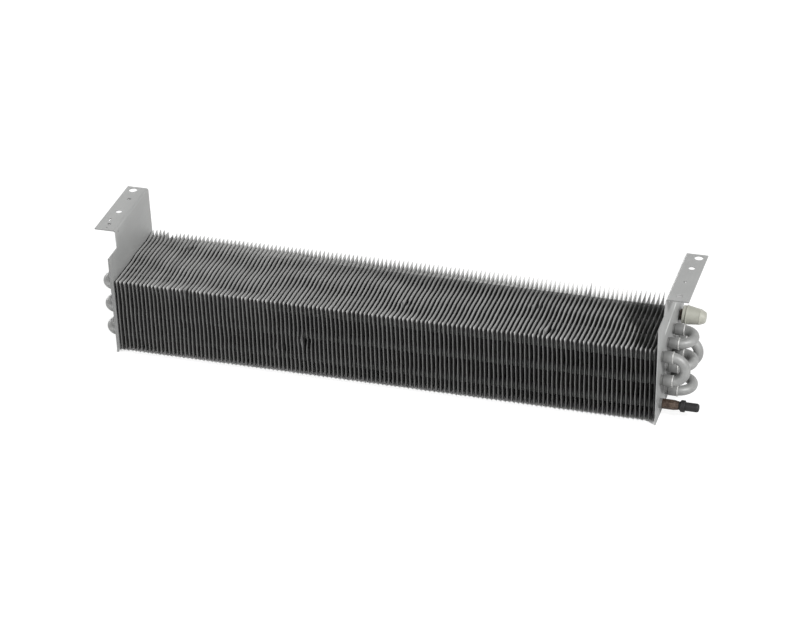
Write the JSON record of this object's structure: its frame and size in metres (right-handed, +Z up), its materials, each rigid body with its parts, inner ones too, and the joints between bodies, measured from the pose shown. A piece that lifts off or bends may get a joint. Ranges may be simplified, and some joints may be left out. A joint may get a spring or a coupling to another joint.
{
  "type": "evaporator coil",
  "caption": "Long fin-and-tube evaporator coil between two flanged end plates, with brazed return bends and capped copper pipe ends.",
  "frame": {"origin": "half way between the two large flange holes, on the top face of the flanges", "axes": "+X along the coil, from the folded ends of the tubes to the pipe connections; +Y from the front of the fins to the rear; +Z up, out of the flanges' top face"},
  "size_m": [0.5905, 0.1114, 0.1216],
  "materials": {
    "fin_foil": "dull rolled aluminium foil",
    "end_sheet": "satin rolled aluminium sheet",
    "aluminium_tube": "drawn aluminium tube, satin",
    "braze": "bright solder bead",
    "copper": "heat-darkened copper",
    "white_plastic": "soft off-white polyethylene",
    "black_rubber": "matt black rubber"
  },
  "bodies": {
    "root": {"fins": "fin_foil", "left_end_plate": "end_sheet", "right_end_plate": "end_sheet", "hairpin_top_front": "aluminium_tube", "hairpin_top_rear": "aluminium_tube", "hairpin_middle_front": "aluminium_tube", "hairpin_middle_rear": "aluminium_tube", "hairpin_bottom_front": "aluminium_tube", "hairpin_bottom_rear": "aluminium_tube", "return_bend_top": "aluminium_tube", "return_bend_middle": "aluminium_tube", "return_bend_bottom": "aluminium_tube", "return_bend_front": "aluminium_tube", "return_bend_rear": "aluminium_tube", "braze_beads": "braze", "outlet_tube": "copper", "outlet_cap": "white_plastic", "inlet_tube": "copper", "inlet_cap": "black_rubber"}
  },
  "joints": []
}
